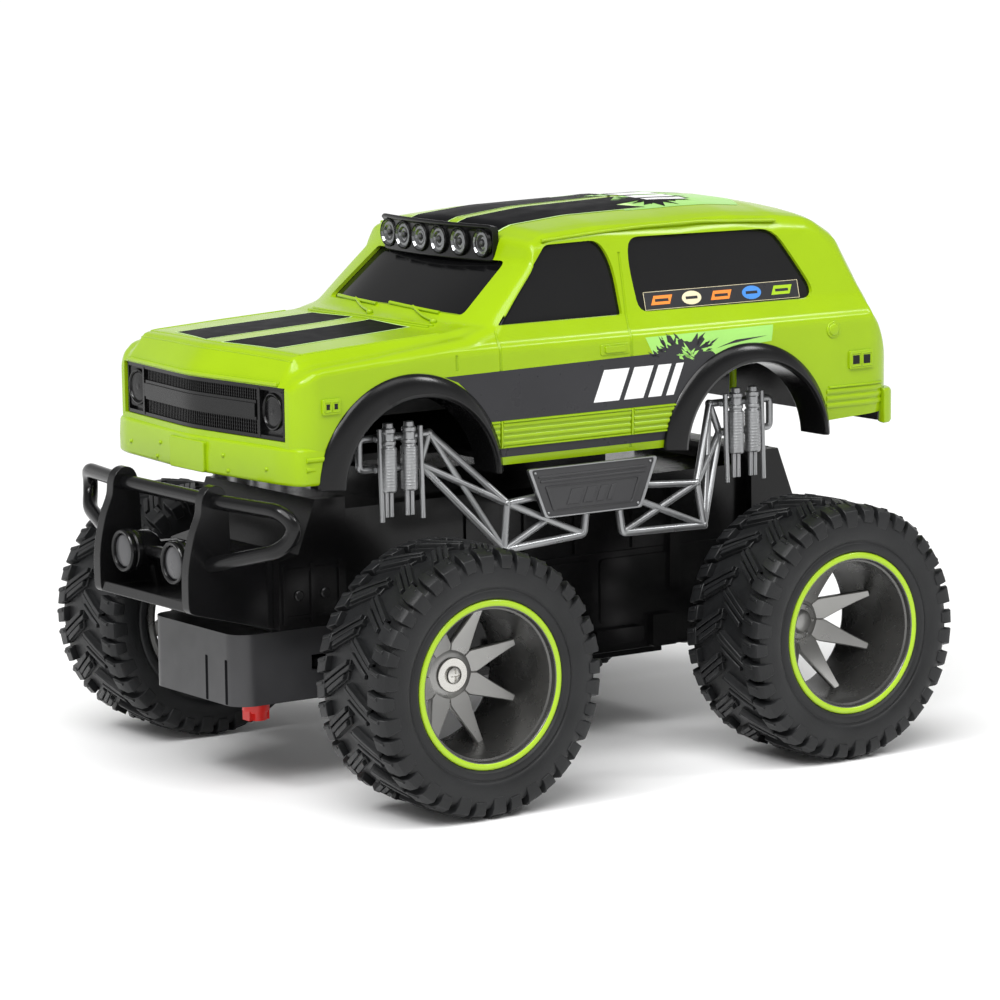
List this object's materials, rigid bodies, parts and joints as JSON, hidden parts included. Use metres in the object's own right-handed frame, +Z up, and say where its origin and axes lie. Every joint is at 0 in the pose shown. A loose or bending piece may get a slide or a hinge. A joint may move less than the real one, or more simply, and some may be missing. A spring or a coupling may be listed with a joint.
{
  "type": "remote control car",
  "caption": "Toy remote control off-road truck: painted body shell on a raised chassis, truss side frames, big lugged tyres, geared rear drive and linked front steering.",
  "frame": {"origin": "middle of the truck's box at the ground", "axes": "+Y to the tail along the length, +X to the truck's left, +Z up from the ground"},
  "size_m": [0.2496, 0.327, 0.222],
  "materials": {
    "body_paint": "gloss",
    "window_tint": "gloss",
    "black_plastic": "satin",
    "satin_plastic": "satin",
    "gunmetal_frame": "metallic satin",
    "rim_grey": "metallic satin",
    "lime_trim": "gloss",
    "tyre_rubber": "matte",
    "lamp_lens": "gloss",
    "steel": "satin",
    "brass": "satin",
    "gear_plastic": "satin",
    "red_plastic": "gloss",
    "battery_wrap": "gloss",
    "board": "satin"
  },
  "bodies": {
    "chassis": {"body_shell": "body_paint", "window_liner": "window_tint", "body_pan": "black_plastic", "grille_insert": "black_plastic", "headlight_lenses": "lamp_lens", "fender_flare_front_left": "black_plastic", "fender_flare_front_right": "black_plastic", "fender_flare_rear_left": "black_plastic", "fender_flare_rear_right": "black_plastic", "light_bar_housing": "black_plastic", "light_bar_lenses": "lamp_lens", "bull_bar": "black_plastic", "fog_lamp_lenses": "lamp_lens", "steering_housing": "satin_plastic", "chassis_tub": "black_plastic", "chassis_cover": "black_plastic", "side_frame_left": "gunmetal_frame", "side_frame_right": "gunmetal_frame", "step_plate_left": "satin_plastic", "step_plate_right": "satin_plastic", "dummy_shocks_front_left": "gunmetal_frame", "dummy_shocks_front_right": "gunmetal_frame", "dummy_shocks_rear_left": "gunmetal_frame", "dummy_shocks_rear_right": "gunmetal_frame", "front_axle_beam": "black_plastic", "kingpins": "steel", "steering_servo": "satin_plastic", "gearbox_case": "satin_plastic", "gearbox_cover": "satin_plastic", "drive_motor": "steel", "battery_pack": "battery_wrap", "circuit_board": "board", "body_screws": "steel", "chassis_screws": "steel"},
    "knuckle_left": {"knuckle_left": "black_plastic", "wheel_screw_left": "steel"},
    "knuckle_right": {"knuckle_right": "black_plastic", "wheel_screw_right": "steel"},
    "front_left_wheel": {"tyre_front_left": "tyre_rubber", "rim_front_left": "rim_grey", "rim_ring_front_left": "lime_trim"},
    "front_right_wheel": {"tyre_front_right": "tyre_rubber", "rim_front_right": "rim_grey", "rim_ring_front_right": "lime_trim"},
    "steering_link": {"steering_link": "black_plastic"},
    "servo_arm": {"servo_arm": "gear_plastic"},
    "trim_knob": {"steering_trim_knob": "red_plastic"},
    "rear_wheels": {"rear_axle": "steel", "axle_gear": "gear_plastic", "rim_rear_left": "rim_grey", "rim_rear_right": "rim_grey", "tyre_rear_left": "tyre_rubber", "tyre_rear_right": "tyre_rubber", "rim_rings_rear": "lime_trim", "rear_hub_caps": "rim_grey"},
    "idler": {"idler_gear": "gear_plastic"},
    "pinion": {"motor_pinion": "brass"},
    "battery_door": {"battery_door": "satin_plastic"},
    "power_switch": {"power_switch": "black_plastic"}
  },
  "joints": [
    {"name": "steer_left", "type": "hinge", "parent": "chassis", "child": "knuckle_left", "pos_m": [0.066, -0.0825, 0.052], "axis": [0, 0, 1], "range_deg": [-17, 17], "stiffness_Nm_per_rad": 0.12},
    {"name": "steer_right", "type": "hinge", "parent": "chassis", "child": "knuckle_right", "pos_m": [-0.066, -0.0825, 0.052], "axis": [0, 0, 1], "range_deg": [-17, 17]},
    {"name": "link_slide", "type": "slide", "parent": "chassis", "child": "steering_link", "axis": [1, 0, 0], "range_m": [-0.00615, 0.00615]},
    {"name": "servo_turn", "type": "hinge", "parent": "chassis", "child": "servo_arm", "pos_m": [0, -0.1185, 0.053], "axis": [0, 0, 1], "range_deg": [-22.6, 22.6]},
    {"name": "front_left_spin", "type": "hinge", "parent": "knuckle_left", "child": "front_left_wheel", "pos_m": [0.101, -0.0825, 0.052], "axis": [1, 0, 0], "continuous": true},
    {"name": "front_right_spin", "type": "hinge", "parent": "knuckle_right", "child": "front_right_wheel", "pos_m": [-0.101, -0.0825, 0.052], "axis": [1, 0, 0], "continuous": true},
    {"name": "rear_spin", "type": "hinge", "parent": "chassis", "child": "rear_wheels", "pos_m": [0, 0.0935, 0.052], "axis": [1, 0, 0], "continuous": true},
    {"name": "idler_spin", "type": "hinge", "parent": "chassis", "child": "idler", "pos_m": [0.003, 0.07536, 0.0647], "axis": [1, 0, 0], "continuous": true},
    {"name": "pinion_spin", "type": "hinge", "parent": "chassis", "child": "pinion", "pos_m": [0, 0.05717, 0.07132], "axis": [1, 0, 0], "continuous": true},
    {"name": "trim_turn", "type": "hinge", "parent": "chassis", "child": "trim_knob", "pos_m": [0.017, -0.1225, 0.034], "axis": [0, 0, 1], "range_deg": [-25, 25]},
    {"name": "battery_door_slide", "type": "slide", "parent": "chassis", "child": "battery_door", "axis": [0, 1, 0], "range_m": [0, 0.03]},
    {"name": "power_switch_slide", "type": "slide", "parent": "chassis", "child": "power_switch", "axis": [0, 1, 0], "range_m": [0, 0.004]}
  ],
  "couplings": [
    {"joint": "steer_right", "follows": "steer_left", "ratio": 1},
    {"joint": "link_slide", "follows": "steer_left", "m_per_rad": 0.020608},
    {"joint": "servo_turn", "follows": "steer_left", "ratio": -1.3216},
    {"joint": "idler_spin", "follows": "rear_spin", "ratio": -2.6667},
    {"joint": "pinion_spin", "follows": "rear_spin", "ratio": 8}
  ]
}
